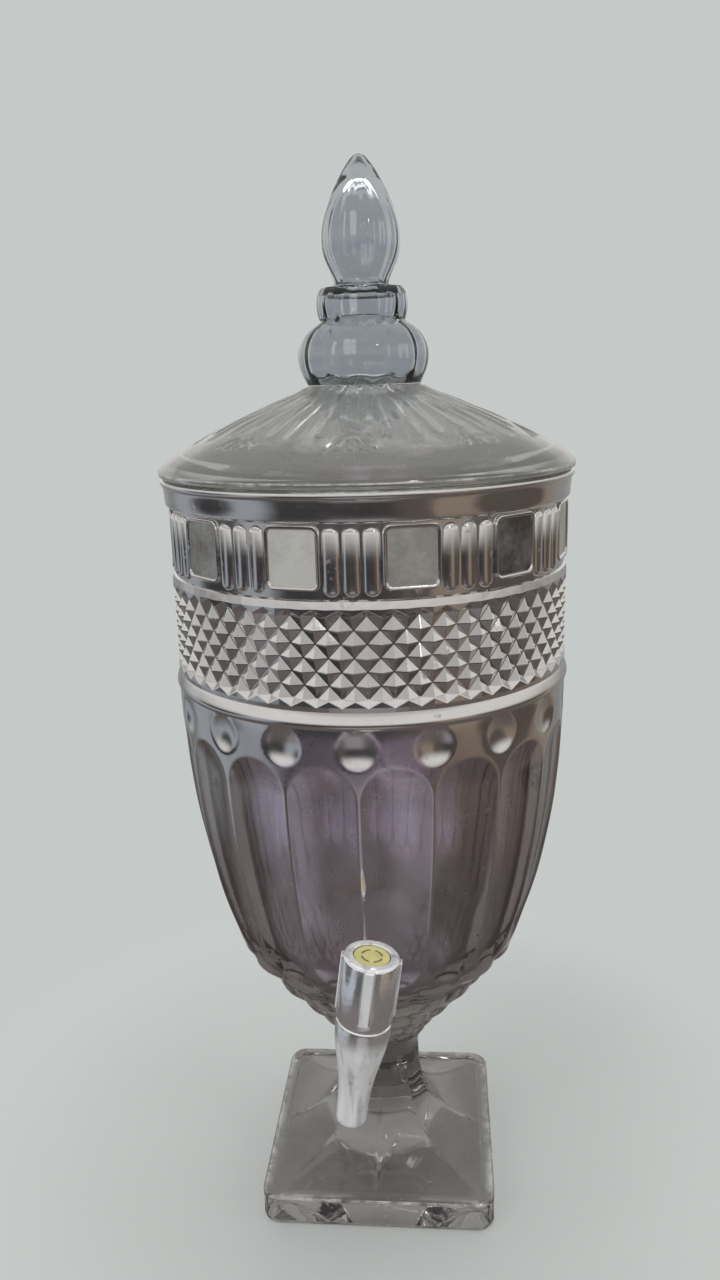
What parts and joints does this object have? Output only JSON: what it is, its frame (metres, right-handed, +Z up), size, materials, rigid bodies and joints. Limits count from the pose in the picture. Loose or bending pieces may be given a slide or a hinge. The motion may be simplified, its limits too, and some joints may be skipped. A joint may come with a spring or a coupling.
{
  "type": "glass beverage dispenser",
  "caption": "Footed pressed-glass drink dispenser with a turning tap low on its bowl and a lift-off lid with a flame-shaped finial.",
  "frame": {"origin": "middle of the square foot's underside, on the bowl's axis", "axes": "+Z up along the bowl's axis, -Y towards the tap, +X to the right seen from the tap's side"},
  "size_m": [0.2008, 0.2287, 0.5351],
  "materials": {
    "silver_lustre_glass": "clear glass with a silvered smoky lustre, polished",
    "smoke_glass": "clear smoke-tinted, polished",
    "lid_smoke_glass": "clear smoke-tinted, polished",
    "plated_plastic": "bright chrome plating on moulded plastic",
    "pale_yellow_plastic": "satin pale yellow",
    "white_plastic": "natural white moulded",
    "clear_silicone": "translucent silicone",
    "black_rubber": "matte",
    "screw_steel": "plain steel"
  },
  "bodies": {
    "base": {"bowl": "silver_lustre_glass", "pedestal_foot": "smoke_glass", "tap_body": "plated_plastic", "tap_bonnet": "white_plastic", "outer_gasket": "clear_silicone", "inner_gasket": "clear_silicone", "lock_nut": "white_plastic"},
    "lid": {"lid": "lid_smoke_glass", "finial": "lid_smoke_glass"},
    "knob": {"tap_knob": "plated_plastic", "knob_disc": "pale_yellow_plastic", "knob_screw": "screw_steel", "tap_plug": "white_plastic", "plug_o_ring_upper": "black_rubber", "plug_o_ring_lower": "black_rubber"}
  },
  "joints": [
    {"name": "lid_lift", "type": "slide", "parent": "base", "child": "lid", "axis": [0, 0, 1], "range_m": [0, 0.15]},
    {"name": "knob_turn", "type": "hinge", "parent": "base", "child": "knob", "pos_m": [0, -0.115, 0.157], "axis": [0.1392, 0, 0.9903], "range_deg": [0, 90]}
  ]
}
